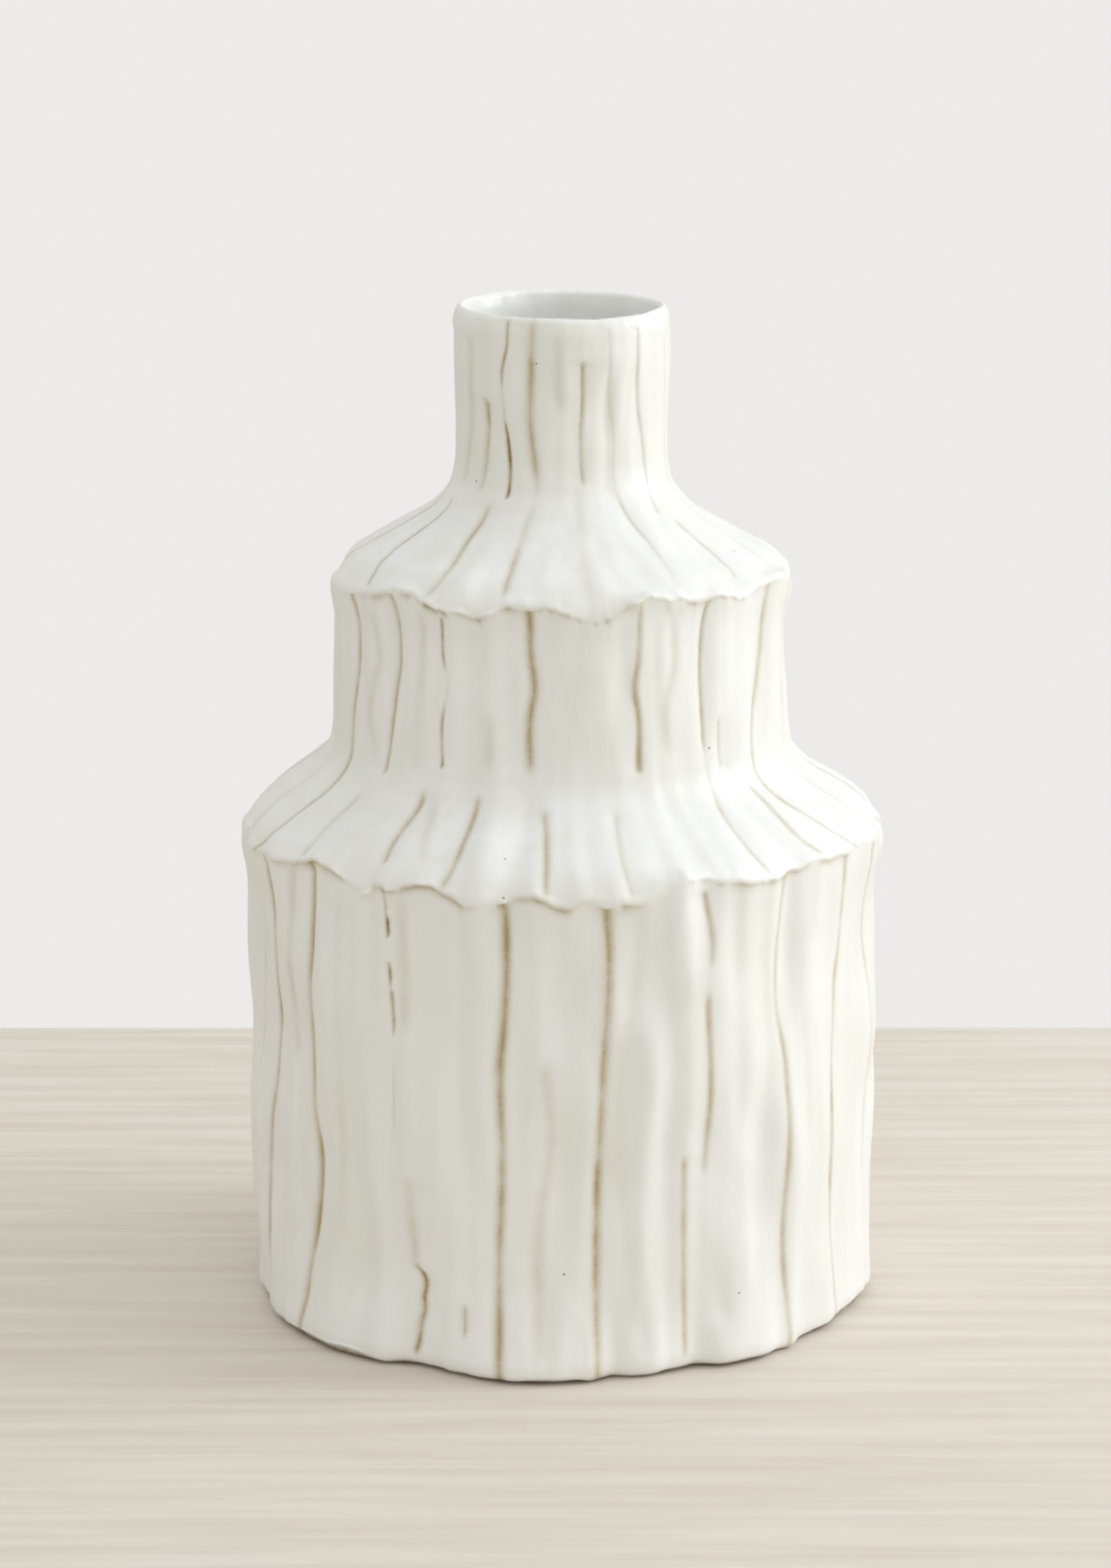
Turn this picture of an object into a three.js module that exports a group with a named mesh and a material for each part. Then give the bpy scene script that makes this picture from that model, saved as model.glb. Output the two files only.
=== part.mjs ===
// A three-tier, slab-built ceramic bud vase, in millimetres.
// +Z is up. The origin is the centre of the foot, on the surface that the vase stands on.
// The vase is a base slab, two stacked walls, a sloping shoulder on each wall, and a neck.
// Each piece rests face to face on the piece below it, as the clay parts do before they are fired.

import * as THREE from 'three';

// Heights, from the foot to the rim.
const BASE_TOP = 5;
const LOWER_WALL_TOP = 84;
const LOWER_SHOULDER_TOP = 101.5;
const MIDDLE_WALL_TOP = 129.5;
const UPPER_SHOULDER_TOP = 147;
const HEIGHT = 178;

// Outside radii, over the crowns of the clay strips.
const FOOT_RADIUS = 54;
const BASE_RADIUS = 55.2;
const LOWER_RADIUS = 56.7;
const LOWER_LIP_RADIUS = 57.3;
const MIDDLE_RADIUS = 40.4;
const UPPER_LIP_RADIUS = 41.2;
const NECK_ROOT_RADIUS = 19.9;
const NECK_WAIST_RADIUS = 18.8;
const NECK_RADIUS = 19.1;

// A shoulder swells to a rounded lip, then slopes evenly up to its toe, and there turns upright.
// A rise is above the shoulder's underside, and an inset is in from its lip.
const LIP_CREST_RISE = 0.8;
const LIP_TOP_RISE = 2.6;
const LIP_TOP_INSET = 0.6;
const BEND_RISE = 4.5;
const BEND_INSET = 1.7;
const SLOPE_START_RISE = 6.5;
const SLOPE_START_INSET = 4.9;
const LOWER_TOE = { radius: 45, height: 95.2 };
const UPPER_TOE = { radius: 25.7, height: 141.2 };

// The neck draws in quickly at its root, and is narrowest at its waist.
const NECK_ROOT_RISE = 3;
const NECK_WAIST_RISE = 10;

// Wall thicknesses, and the bores that they leave.
const WALL = 5;
const HALF_WALL = WALL / 2;
const NECK_WALL = 2.6;
const LOWER_BORE = LOWER_RADIUS - WALL;
const MIDDLE_BORE = MIDDLE_RADIUS - WALL;
const NECK_BORE = NECK_RADIUS - NECK_WALL;

// The underside: a flat ring to stand on, round a shallow recess.
const RECESS_RADIUS = 44;
const RECESS_DEPTH = 1.2;
const RECESS_SLOPE = 2.5;

// The seams between the strips: how deep they are pressed in, and how far a flank is from its seam.
const SEAM_DEPTH = 0.9;
const SEAM_FLANK = 1.8;

// Where the seams run, in degrees round the axis from -Y towards +X.
const LOWER_WALL_SEAMS = [
  -77, -67, -57, -50, -42, -30, -20, -10, 8, 26, 43, 60, 74,
  88, 101, 112, 126, 139, 151, 165, 178, 191, 205, 217, 230, 243, 256, 270,
];
const LOWER_SHOULDER_SEAMS = [
  -80, -66, -51, -33, -20, -4, 12, 36, 49, 57, 72,
  90, 107, 124, 140, 157, 175, 192, 209, 226, 244, 262,
];
const MIDDLE_WALL_SEAMS = [
  -77, -64, -55, -47, -38, -30, -18, -8, 6, 19, 36, 44, 60, 76,
  92, 108, 121, 137, 150, 166, 182, 197, 211, 227, 242, 256, 270,
];
const UPPER_SHOULDER_SEAMS = [
  -85, -72, -58, -46, -33, -14, 5, 29, 50, 68, 84,
  100, 117, 133, 150, 168, 187, 204, 221, 239, 257,
];
const NECK_SEAMS = [
  -80, -60, -46, -30, -16, -3, 11, 27, 46, 66,
  90, 113, 136, 160, 184, 208, 233, 257,
];

// How many straight steps stand for each curved stretch of an outline.
const CURVE_STEPS = 3;
const RIM_STEPS = 6;

/** The glaze of one piece: warm white, with a satin shine. */
function whiteGlaze() {
  return new THREE.MeshStandardMaterial({ color: 0xe9e6df, roughness: 0.35, metalness: 0 });
}

/** A path in the half plane through the axis, where x is the radius and y is the height. */
function pathFrom(radius, height) {
  const path = new THREE.Path();
  path.moveTo(radius, height);
  return path;
}

/** The columns of a piece: one down each seam, and one on each of its two flanks. */
function seamColumns(seams, radius) {
  const flank = SEAM_FLANK / radius;
  return seams.flatMap((degrees) => {
    const seam = THREE.MathUtils.degToRad(degrees);
    return [
      { angle: seam - flank, press: 0 },
      { angle: seam, press: SEAM_DEPTH },
      { angle: seam + flank, press: 0 },
    ];
  });
}

/**
 * Turns a section about Z and presses the seams into its outside.
 * The section runs out under the piece, up its outside, and back down or across its inside.
 * It starts and ends on the axis, or it is a ring's section and closes on itself.
 */
function turnedPiece(name, { under = [], outside, inside }, seams) {
  const section = [...under, ...outside, ...inside];
  if (section[0].x > 0) {
    section.push(section[0]);
  }
  const widest = Math.max(...outside.map((point) => point.x));
  const columns = seamColumns(seams, widest);
  const geometry = new THREE.LatheGeometry(section, columns.length);
  const position = geometry.getAttribute('position');
  for (let turn = 0; turn <= columns.length; turn++) {
    const { angle, press } = columns[turn % columns.length];
    section.forEach((point, row) => {
      const radius = outside.includes(point) ? point.x - press : point.x;
      const vertex = turn * section.length + row;
      position.setXYZ(vertex, radius * Math.sin(angle), -radius * Math.cos(angle), point.y);
    });
  }
  const mesh = new THREE.Mesh(geometry, whiteGlaze());
  mesh.name = name;
  return mesh;
}

/** The floor of the vase: a slab with a rounded lower edge. */
function makeBase() {
  const edge = pathFrom(FOOT_RADIUS, 0);
  edge.quadraticCurveTo(BASE_RADIUS, 0, BASE_RADIUS, BASE_TOP);
  const under = [
    new THREE.Vector2(0, RECESS_DEPTH),
    new THREE.Vector2(RECESS_RADIUS - RECESS_SLOPE, RECESS_DEPTH),
    new THREE.Vector2(RECESS_RADIUS, 0),
  ];
  const inside = [new THREE.Vector2(0, BASE_TOP)];
  return turnedPiece('base', { under, outside: edge.getPoints(CURVE_STEPS), inside }, LOWER_WALL_SEAMS);
}

/** The tall lower wall, which swells slightly as it rises. */
function makeLowerWall() {
  const outside = pathFrom(BASE_RADIUS, BASE_TOP);
  outside.quadraticCurveTo(LOWER_RADIUS, LOWER_WALL_TOP / 2, LOWER_RADIUS, LOWER_WALL_TOP);
  const inside = pathFrom(LOWER_BORE, LOWER_WALL_TOP);
  inside.lineTo(BASE_RADIUS - WALL, BASE_TOP);
  return turnedPiece(
    'lower_wall',
    { outside: outside.getPoints(CURVE_STEPS), inside: inside.getPoints() },
    LOWER_WALL_SEAMS,
  );
}

/** The short middle wall, which is nearly upright. */
function makeMiddleWall() {
  const outside = pathFrom(MIDDLE_RADIUS, LOWER_SHOULDER_TOP);
  outside.lineTo(MIDDLE_RADIUS, MIDDLE_WALL_TOP);
  const inside = pathFrom(MIDDLE_BORE, MIDDLE_WALL_TOP);
  inside.lineTo(MIDDLE_BORE, LOWER_SHOULDER_TOP);
  return turnedPiece(
    'middle_wall',
    { outside: outside.getPoints(), inside: inside.getPoints() },
    MIDDLE_WALL_SEAMS,
  );
}

/**
 * A shoulder: a slab that rests on the wall below it, with a rounded lip round its lower edge.
 * It slopes in to the piece above it and turns upright there.
 */
function makeShoulder(name, low, toe, high, seams) {
  const lip = { radius: low.lip - LIP_TOP_INSET, height: low.height + LIP_TOP_RISE };
  const slope = { radius: low.lip - SLOPE_START_INSET, height: low.height + SLOPE_START_RISE };
  const outside = pathFrom(low.radius, low.height);
  outside.quadraticCurveTo(low.lip, low.height + LIP_CREST_RISE, lip.radius, lip.height);
  outside.quadraticCurveTo(low.lip - BEND_INSET, low.height + BEND_RISE, slope.radius, slope.height);
  outside.lineTo(toe.radius, toe.height);
  outside.quadraticCurveTo(high.radius, high.height - HALF_WALL, high.radius, high.height);

  const inside = pathFrom(high.bore, high.height);
  inside.quadraticCurveTo(high.bore, toe.height - HALF_WALL, toe.radius - HALF_WALL, toe.height - WALL);
  inside.quadraticCurveTo(low.bore, lip.height, low.bore, low.height);
  return turnedPiece(
    name,
    { outside: outside.getPoints(CURVE_STEPS), inside: inside.getPoints(CURVE_STEPS) },
    seams,
  );
}

/** The neck: a slightly waisted tube with a rounded rim. */
function makeNeck() {
  const rimRadius = NECK_WALL / 2;
  const root = UPPER_SHOULDER_TOP + NECK_ROOT_RISE;
  const waist = UPPER_SHOULDER_TOP + NECK_WAIST_RISE;
  const outside = pathFrom(NECK_ROOT_RADIUS, UPPER_SHOULDER_TOP);
  outside.quadraticCurveTo(NECK_WAIST_RADIUS, root, NECK_WAIST_RADIUS, waist);
  outside.lineTo(NECK_RADIUS, HEIGHT - rimRadius);
  const rim = new THREE.Path();
  rim.absarc(NECK_RADIUS - rimRadius, HEIGHT - rimRadius, rimRadius, 0, Math.PI);
  const inside = pathFrom(NECK_BORE, HEIGHT - rimRadius);
  inside.lineTo(NECK_BORE, UPPER_SHOULDER_TOP);
  return turnedPiece(
    'neck',
    {
      outside: outside.getPoints(CURVE_STEPS),
      inside: [...rim.getPoints(RIM_STEPS).slice(1), ...inside.getPoints().slice(1)],
    },
    NECK_SEAMS,
  );
}

const vase = new THREE.Group();
vase.add(makeBase());
vase.add(makeLowerWall());
vase.add(
  makeShoulder(
    'lower_shoulder',
    { radius: LOWER_RADIUS, height: LOWER_WALL_TOP, lip: LOWER_LIP_RADIUS, bore: LOWER_BORE },
    LOWER_TOE,
    { radius: MIDDLE_RADIUS, height: LOWER_SHOULDER_TOP, bore: MIDDLE_BORE },
    LOWER_SHOULDER_SEAMS,
  ),
);
vase.add(makeMiddleWall());
vase.add(
  makeShoulder(
    'upper_shoulder',
    { radius: MIDDLE_RADIUS, height: MIDDLE_WALL_TOP, lip: UPPER_LIP_RADIUS, bore: MIDDLE_BORE },
    UPPER_TOE,
    { radius: NECK_ROOT_RADIUS, height: UPPER_SHOULDER_TOP, bore: NECK_BORE },
    UPPER_SHOULDER_SEAMS,
  ),
);
vase.add(makeNeck());

export default vase;
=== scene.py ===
"""A tiered, hand-built ceramic bud vase: satin white glaze, with an iron wash left in its seams.

Sizes are in millimetres until they are handed to Blender. Angles are in degrees round the vase's axis,
from -Y, which faces the camera, towards +X. The outer skin is drawn as three sheets that run upwards:

- the drum sheet, from the middle of the underside to the crease under the lower lip;
- the middle sheet, from that crease over the lower shoulder to the crease under the upper lip;
- the top sheet, from that crease over the upper shoulder and the rim, and down inside the neck.

Each sheet is then cut at the joints between the clay parts, and each part is closed on its inside.
"""

from typing import NamedTuple

import bpy
import numpy as np
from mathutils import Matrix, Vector


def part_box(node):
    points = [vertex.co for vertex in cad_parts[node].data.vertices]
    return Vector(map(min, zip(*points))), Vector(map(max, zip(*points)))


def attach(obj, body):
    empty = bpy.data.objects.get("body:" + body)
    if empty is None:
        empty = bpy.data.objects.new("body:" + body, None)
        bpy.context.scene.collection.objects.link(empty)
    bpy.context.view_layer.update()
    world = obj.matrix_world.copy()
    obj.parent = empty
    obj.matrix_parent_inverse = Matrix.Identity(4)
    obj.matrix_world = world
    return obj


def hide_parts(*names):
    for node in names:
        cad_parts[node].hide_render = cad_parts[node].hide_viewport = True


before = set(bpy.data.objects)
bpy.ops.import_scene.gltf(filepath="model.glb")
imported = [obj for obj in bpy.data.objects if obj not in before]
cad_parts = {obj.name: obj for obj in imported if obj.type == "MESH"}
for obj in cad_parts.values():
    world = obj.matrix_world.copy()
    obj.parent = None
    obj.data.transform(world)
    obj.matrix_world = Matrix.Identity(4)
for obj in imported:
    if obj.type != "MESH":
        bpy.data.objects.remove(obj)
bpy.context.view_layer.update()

MM = 0.001


# ---- sizes, from the frame

def top_of(node):
    """The height of the top of a node."""
    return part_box(node)[1].z / MM


def radius_of(node):
    """The radius of a node: the mean of half its width and half its depth."""
    low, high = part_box(node)
    return (high.x - low.x + high.y - low.y) / 4 / MM


BASE_TOP = top_of("base")
LOWER_CREASE = top_of("lower_wall")
LOWER_ROOT = top_of("lower_shoulder")
UPPER_CREASE = top_of("middle_wall")
UPPER_ROOT = top_of("upper_shoulder")
RIM = top_of("neck")

LOWER_LIP = radius_of("lower_shoulder")
UPPER_LIP = radius_of("upper_shoulder")
NECK_ROOT = radius_of("neck")

# The seams leave the walls' boxes a little uneven, so these two are taken to the nearest tenth.
DRUM_RADIUS = round(radius_of("lower_wall"), 1)
MIDDLE_RADIUS = round(radius_of("middle_wall"), 1)

WALL = 5.0
NECK_WALL = 2.6
NECK_BORE = 16.4
NECK_RADIUS = NECK_BORE + NECK_WALL

# The underside is a flat ring round a shallow recess. The edge of the foot is lifted off the table.
FOOT_RADIUS = 55.0
FOOT_RING = 6.0
FOOT_LIFT = 0.7
RECESS_RADIUS = 44.0
RECESS_DEPTH = 1.2


# ---- curves and noise

def smoothstep(low, high, x):
    """0 up to low, 1 from high on, and an even curve between them."""
    t = np.clip((x - low) / (high - low), 0, 1)
    return t * t * (3 - 2 * t)


def smooth_through(xs, ys, x):
    """The smooth curve through the points (xs, ys), which holds its end values beyond them."""
    xs = np.asarray(xs, float)
    ys = np.asarray(ys, float)
    slopes = np.gradient(ys, xs)
    low = np.clip(np.searchsorted(xs, x, side="right") - 1, 0, len(xs) - 2)
    span = xs[low + 1] - xs[low]
    t = np.clip((x - xs[low]) / span, 0, 1)
    start = ys[low] * (1 + 2 * t) + slopes[low] * span * t
    stop = ys[low + 1] * (3 - 2 * t) - slopes[low + 1] * span * (1 - t)
    return start * (1 - t) ** 2 + stop * t**2


def wrap(degrees):
    """The same angle, from -180 to 180."""
    return (degrees + 180) % 360 - 180


def round_axis(angle, radius, height):
    """The points at these angles, radii and heights."""
    turn = np.radians(angle)
    return np.stack([radius * np.sin(turn), -radius * np.cos(turn), height + 0 * turn], axis=-1)


LATTICE = 64


def lumps(points, size, seed):
    """Smooth noise from -1 to 1, in lumps of about the given size."""
    lattice = np.random.default_rng(seed).uniform(-1, 1, (LATTICE,) * 3)
    place = points / size
    cell = np.floor(place).astype(int)
    t = place - cell
    t = t * t * (3 - 2 * t)
    total = np.zeros(points.shape[:-1])
    for corner in np.ndindex(2, 2, 2):
        weight = np.prod(np.where(corner, t, 1 - t), axis=-1)
        x, y, z = np.moveaxis((cell + corner) % LATTICE, -1, 0)
        total += weight * lattice[x, y, z]
    return total


# ---- outlines

class Knot(NamedTuple):
    """A point of an outline, and how far apart the rows of the mesh are near it."""

    radius: float
    height: float
    spacing: float


# From beside the axis, out across the underside, and up.
DRUM_OUTLINE = [
    Knot(6, RECESS_DEPTH, 8),
    Knot(RECESS_RADIUS - 3.5, RECESS_DEPTH, 2),
    Knot(RECESS_RADIUS - 2, RECESS_DEPTH - 0.2, 0.5),
    Knot(RECESS_RADIUS, 0.05, 0.5),
    Knot(RECESS_RADIUS + 1, 0, 1.5),
    Knot(FOOT_RADIUS - FOOT_RING, 0, 1.2),
    Knot(FOOT_RADIUS, FOOT_LIFT, 0.4),
    Knot(DRUM_RADIUS - 0.7, 2 * FOOT_LIFT, 0.3),
    Knot(DRUM_RADIUS - 0.4, BASE_TOP - 2.4, 0.4),
    Knot(DRUM_RADIUS - 0.5, BASE_TOP, 0.7),
    Knot(DRUM_RADIUS - 0.8, BASE_TOP + 10, 1),
    Knot(DRUM_RADIUS - 0.9, BASE_TOP + 33, 1),
    Knot(DRUM_RADIUS - 0.8, LOWER_CREASE - 24, 1),
    Knot(DRUM_RADIUS - 0.7, LOWER_CREASE - 10, 1),
    Knot(DRUM_RADIUS - 0.4, LOWER_CREASE - 4, 0.5),
    Knot(DRUM_RADIUS - 0.1, LOWER_CREASE - 1.2, 0.3),
    Knot(DRUM_RADIUS, LOWER_CREASE, 0.3),
]

# Round the lower lip, in along the shoulder, and up.
MIDDLE_OUTLINE = [
    Knot(DRUM_RADIUS, LOWER_CREASE, 0.25),
    Knot(LOWER_LIP - 0.2, LOWER_CREASE + 0.8, 0.3),
    Knot(LOWER_LIP - 0.6, LOWER_CREASE + 1.9, 0.35),
    Knot(LOWER_LIP - 1.7, LOWER_CREASE + 3.6, 0.5),
    Knot(LOWER_LIP - 4.0, LOWER_CREASE + 5.9, 0.7),
    Knot(MIDDLE_RADIUS + 8.8, LOWER_ROOT - 9, 0.8),
    Knot(MIDDLE_RADIUS + 5.4, LOWER_ROOT - 7, 0.8),
    Knot(MIDDLE_RADIUS + 2.9, LOWER_ROOT - 5, 0.7),
    Knot(MIDDLE_RADIUS + 1.3, LOWER_ROOT - 3, 0.7),
    Knot(MIDDLE_RADIUS + 0.4, LOWER_ROOT - 1, 0.7),
    Knot(MIDDLE_RADIUS, LOWER_ROOT + 1.5, 0.8),
    Knot(MIDDLE_RADIUS - 0.3, LOWER_ROOT + 8.5, 0.9),
    Knot(MIDDLE_RADIUS - 0.6, UPPER_CREASE - 9.5, 0.8),
    Knot(MIDDLE_RADIUS - 0.4, UPPER_CREASE - 3, 0.5),
    Knot(MIDDLE_RADIUS, UPPER_CREASE - 1.2, 0.3),
    Knot(MIDDLE_RADIUS + 0.2, UPPER_CREASE, 0.3),
]

# Round the upper lip, in along the shoulder, up the neck, over the rim, and down the bore.
TOP_OUTLINE = [
    Knot(MIDDLE_RADIUS + 0.2, UPPER_CREASE, 0.25),
    Knot(UPPER_LIP - 0.2, UPPER_CREASE + 0.8, 0.3),
    Knot(UPPER_LIP - 0.6, UPPER_CREASE + 1.9, 0.35),
    Knot(UPPER_LIP - 1.6, UPPER_CREASE + 3.3, 0.5),
    Knot(UPPER_LIP - 3.6, UPPER_CREASE + 5.2, 0.7),
    Knot(NECK_RADIUS + 14.9, UPPER_ROOT - 10.5, 0.7),
    Knot(NECK_RADIUS + 11.2, UPPER_ROOT - 8.5, 0.7),
    Knot(NECK_RADIUS + 7.9, UPPER_ROOT - 6.5, 0.6),
    Knot(NECK_RADIUS + 4.8, UPPER_ROOT - 4.5, 0.6),
    Knot(NECK_RADIUS + 2.6, UPPER_ROOT - 2.4, 0.6),
    Knot(NECK_ROOT, UPPER_ROOT, 0.6),
    Knot(NECK_RADIUS + 0.1, UPPER_ROOT + 3, 0.6),
    Knot(NECK_RADIUS - 0.2, UPPER_ROOT + 9, 0.7),
    Knot(NECK_RADIUS, RIM - 13, 0.7),
    Knot(NECK_RADIUS + 0.1, RIM - 5, 0.5),
    Knot(NECK_RADIUS - 0.1, RIM - 1.9, 0.25),
    Knot(NECK_RADIUS - 0.6, RIM - 0.6, 0.2),
    Knot(NECK_BORE + 1.35, RIM - 0.15, 0.2),
    Knot(NECK_BORE + 0.7, RIM - 0.5, 0.2),
    Knot(NECK_BORE + 0.3, RIM - 1.7, 0.3),
    Knot(NECK_BORE + 0.1, RIM - 5, 0.7),
    Knot(NECK_BORE, RIM - 18, 2),
    Knot(NECK_BORE, UPPER_ROOT, 3),
]

DRUM_BORE = LOWER_LIP - WALL - 1
MIDDLE_BORE = MIDDLE_OUTLINE[-1].radius - WALL

# The insides of the other hollow pieces, as (radius, height) points from the top of each down.
LOWER_WALL_INSIDE = [
    (DRUM_BORE, LOWER_CREASE),
    (DRUM_BORE, LOWER_CREASE - 24),
    (DRUM_BORE - 1, BASE_TOP + 25),
    (DRUM_BORE - 1, BASE_TOP),
]
LOWER_SHOULDER_INSIDE = [
    (MIDDLE_BORE, LOWER_ROOT),
    (MIDDLE_BORE + 1.4, LOWER_ROOT - 7.5),
    (MIDDLE_BORE + 7.4, LOWER_ROOT - 11.5),
    (DRUM_BORE, LOWER_CREASE + 3),
    (DRUM_BORE, LOWER_CREASE),
]
MIDDLE_WALL_INSIDE = [
    (MIDDLE_BORE, UPPER_CREASE),
    (MIDDLE_BORE, UPPER_CREASE - 14.5),
    (MIDDLE_BORE, LOWER_ROOT),
]
UPPER_SHOULDER_INSIDE = [
    (NECK_BORE, UPPER_ROOT),
    (NECK_BORE + 2.6, UPPER_ROOT - 7.5),
    (NECK_BORE + 10.6, UPPER_ROOT - 12),
    (MIDDLE_BORE, UPPER_CREASE + 3),
    (MIDDLE_BORE, UPPER_CREASE),
]


def draw_outline(knots):
    """The rows of a sheet, as radii and heights."""
    radii = [knot.radius for knot in knots]
    heights = [knot.height for knot in knots]
    steps = np.hypot(np.diff(radii), np.diff(heights))
    along = np.concatenate([[0], np.cumsum(steps)])
    rows = [0.0]
    for knot, following, start, stop in zip(knots, knots[1:], along, along[1:]):
        spacing = (knot.spacing + following.spacing) / 2
        count = max(1, round((stop - start) / spacing))
        rows += list(np.linspace(start, stop, count + 1)[1:])
    return smooth_through(along, radii, rows), smooth_through(along, heights, rows)


def climb_of(radius, height):
    """The height of each row, carried on below 0 under the foot, and above the rim inside the neck."""
    climb = height.copy()
    crest = np.argmax(height)
    climb[crest:] = 2 * height[crest] - height[crest:]
    under = (radius < FOOT_RADIUS) & (height < BASE_TOP)
    climb[under] = radius[under] - FOOT_RADIUS
    return climb


# ---- seams

class Cut(NamedTuple):
    """How a seam is pressed in: its depth and width, and the wash in its core and in its width."""

    depth: float
    width: float
    core: float
    wash: float


BOLD = Cut(1.2, 0.8, core=0.45, wash=1.15)
PLAIN = Cut(0.9, 0.7, core=0.3, wash=0.8)
THIN = Cut(0.7, 0.55, core=0.5, wash=0.8)
FINE = Cut(0.45, 0.45, core=0.2, wash=0.5)
CRACK = Cut(0.6, 0.4, core=1.4, wash=1.0)
GASH = Cut(0.8, 0.7, core=1.2, wash=1.3)
PALE = Cut(0.4, 0.6, core=0.15, wash=0.75)
SOFT = Cut(0.5, 1.0, core=0, wash=0.4)
BROAD = Cut(0.8, 1.5, core=0, wash=0.12)


def steady(strength):
    """The points of a seam that shows equally strongly all the way up."""
    return ((0, strength), (1, strength))


class Seam(NamedTuple):
    """A seam between two strips of clay.

    path is its (height, angle) points, lowest first. shows is how strongly it shows, as (height,
    strength) points. step is how far the strip to its right stands proud of the one to its left.
    """

    cut: Cut
    path: tuple
    shows: tuple = steady(1)
    step: float = 0


DRUM_SEAMS = [
    Seam(FINE, ((-5, -77), (40, -77), (59, -75), (90, -77))),
    Seam(THIN, ((-5, -70), (38, -69), (60, -66), (90, -66)), step=-0.2),
    Seam(SOFT, ((50, -58), (83, -57))),
    Seam(BOLD, ((-5, -54), (12, -52), (30, -49), (47, -51), (65, -51), (90, -50)), step=0.2),
    Seam(SOFT, ((20, -43), (80, -43)), shows=steady(0.4)),
    Seam(
        CRACK,
        ((42, -31), (59, -31.2), (68, -31.7), (84, -32.4)),
        shows=(
            (42, 0.2), (50, 0.2), (56, 0), (58.5, 0), (59.5, 0.9), (66, 0.9), (67.3, 0), (68.5, 0.9),
            (70.8, 0.7), (71.5, 0), (75.5, 0), (76.3, 1), (78.6, 1), (79.6, 0), (80.2, 0.4), (84, 0.4),
        ),
    ),
    Seam(SOFT, ((60, -29), (82, -29))),
    Seam(
        GASH,
        (
            (3, -26.4), (6, -25.9), (8.3, -25.7), (10.7, -25.1), (13, -25.3), (14.8, -24.9),
            (16.8, -25.4), (18, -26.6),
        ),
    ),
    Seam(SOFT, ((18.5, -27), (33, -28)), shows=steady(1.3)),
    Seam(GASH, ((7.6, -16.8), (12.4, -17)), shows=steady(0.5)),
    Seam(SOFT, ((18, -20), (32, -20)), shows=steady(0.3)),
    Seam(BOLD, ((-5, -10), (18, -11), (40, -10.5), (55, -11), (64, -10.2), (90, -10)), step=0.15),
    Seam(SOFT, ((5, -4), (27, -4), (44, -2), (55, -3))),
    Seam(BOLD, ((-5, 6), (27, 6), (53, 7), (77, 8), (90, 7)), step=-0.2),
    Seam(BROAD, ((8, 12), (17, 12), (40, 10), (60, 11), (75, 13), (84, 13)), shows=steady(0.8)),
    Seam(
        PALE,
        ((35, 26), (48, 26.5), (69, 26), (76, 26.8), (82, 25.5)),
        shows=((35, 0.6), (50, 1.3), (65, 1.3), (68, 0.1), (71, 0.1), (73, 1)),
        step=0.15,
    ),
    Seam(PALE, ((3, 22), (38, 22))),
    Seam(BROAD, ((69, 32), (84, 32)), shows=steady(0.8)),
    Seam(
        PALE,
        ((-5, 44), (13, 43), (26, 42.3), (44, 43.6), (54, 43.5), (62, 42.3), (72, 42.8), (84, 43.9)),
        step=0.1,
    ),
    Seam(SOFT, ((38, 50), (48, 50), (66, 49), (74, 49)), shows=steady(0.4)),
    Seam(PALE, ((-5, 61), (18, 59), (32, 57), (50, 59), (63, 60), (70, 61), (90, 59)), step=0.1),
    Seam(FINE, ((20, 79), (38, 81), (72, 74), (90, 71))),
]

MIDDLE_SEAMS = [
    Seam(FINE, ((84, -82), (92, -79), (104, -77), (132, -77))),
    Seam(THIN, ((84, -70), (91, -65), (99, -65), (108, -65), (113, -64), (118, -63), (132, -63))),
    Seam(PLAIN, ((86, -54), (96, -54)), shows=steady(0.6)),
    Seam(SOFT, ((103, -55), (109, -57), (114, -55), (120, -52), (126, -54))),
    Seam(THIN, ((100, -49), (107, -48), (115, -47), (120, -46), (132, -47)), step=0.2),
    Seam(SOFT, ((102, -39), (111, -39), (118, -38), (127, -37))),
    Seam(PLAIN, ((88.5, -34), (93, -35), (98, -35)), shows=steady(1.4)),
    Seam(
        CRACK,
        ((102.5, -31), (111, -31), (117, -29), (122, -31), (128, -31)),
        shows=((103, 1.2), (106, 0.8), (111, 0.5), (114, 0.1), (119, 0.1), (122, 0.9), (128, 1)),
    ),
    Seam(SOFT, ((90, -27), (97, -31))),
    Seam(PLAIN, ((85, -21), (89, -20), (98, -20))),
    Seam(SOFT, ((103, -18), (112, -18))),
    Seam(BOLD, ((103, -8), (112, -8), (117, -7), (123, -8), (132, -8)), step=0.2),
    Seam(PLAIN, ((85, -3), (91, -3), (96.5, -4))),
    Seam(PLAIN, ((85, 12), (91, 11), (96, 12)), shows=steady(0.6)),
    Seam(PALE, ((102.5, 19), (112, 19), (117, 18), (122, 19), (132, 19)), shows=steady(1.4), step=0.15),
    Seam(SOFT, ((105, 27), (112, 26), (122, 29), (129, 27))),
    Seam(
        FINE,
        ((84, 40), (88, 38), (92, 37), (96, 38), (106, 38), (120, 37.5), (129, 38.5)),
        shows=((96, 1), (98, 0.2), (104, 0.2), (107, 1.3)),
    ),
    Seam(FINE, ((101, 43.5), (110, 43))),
    Seam(PALE, ((86, 53), (92, 51), (95, 52), (98, 51)), shows=steady(0.8)),
    Seam(PALE, ((84, 66), (93, 59), (98, 57), (109, 57), (115, 59), (119, 60), (132, 62))),
    Seam(FINE, ((84, 82), (92, 76), (106, 76), (112, 74), (116, 79), (122, 76), (132, 76))),
]

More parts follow.
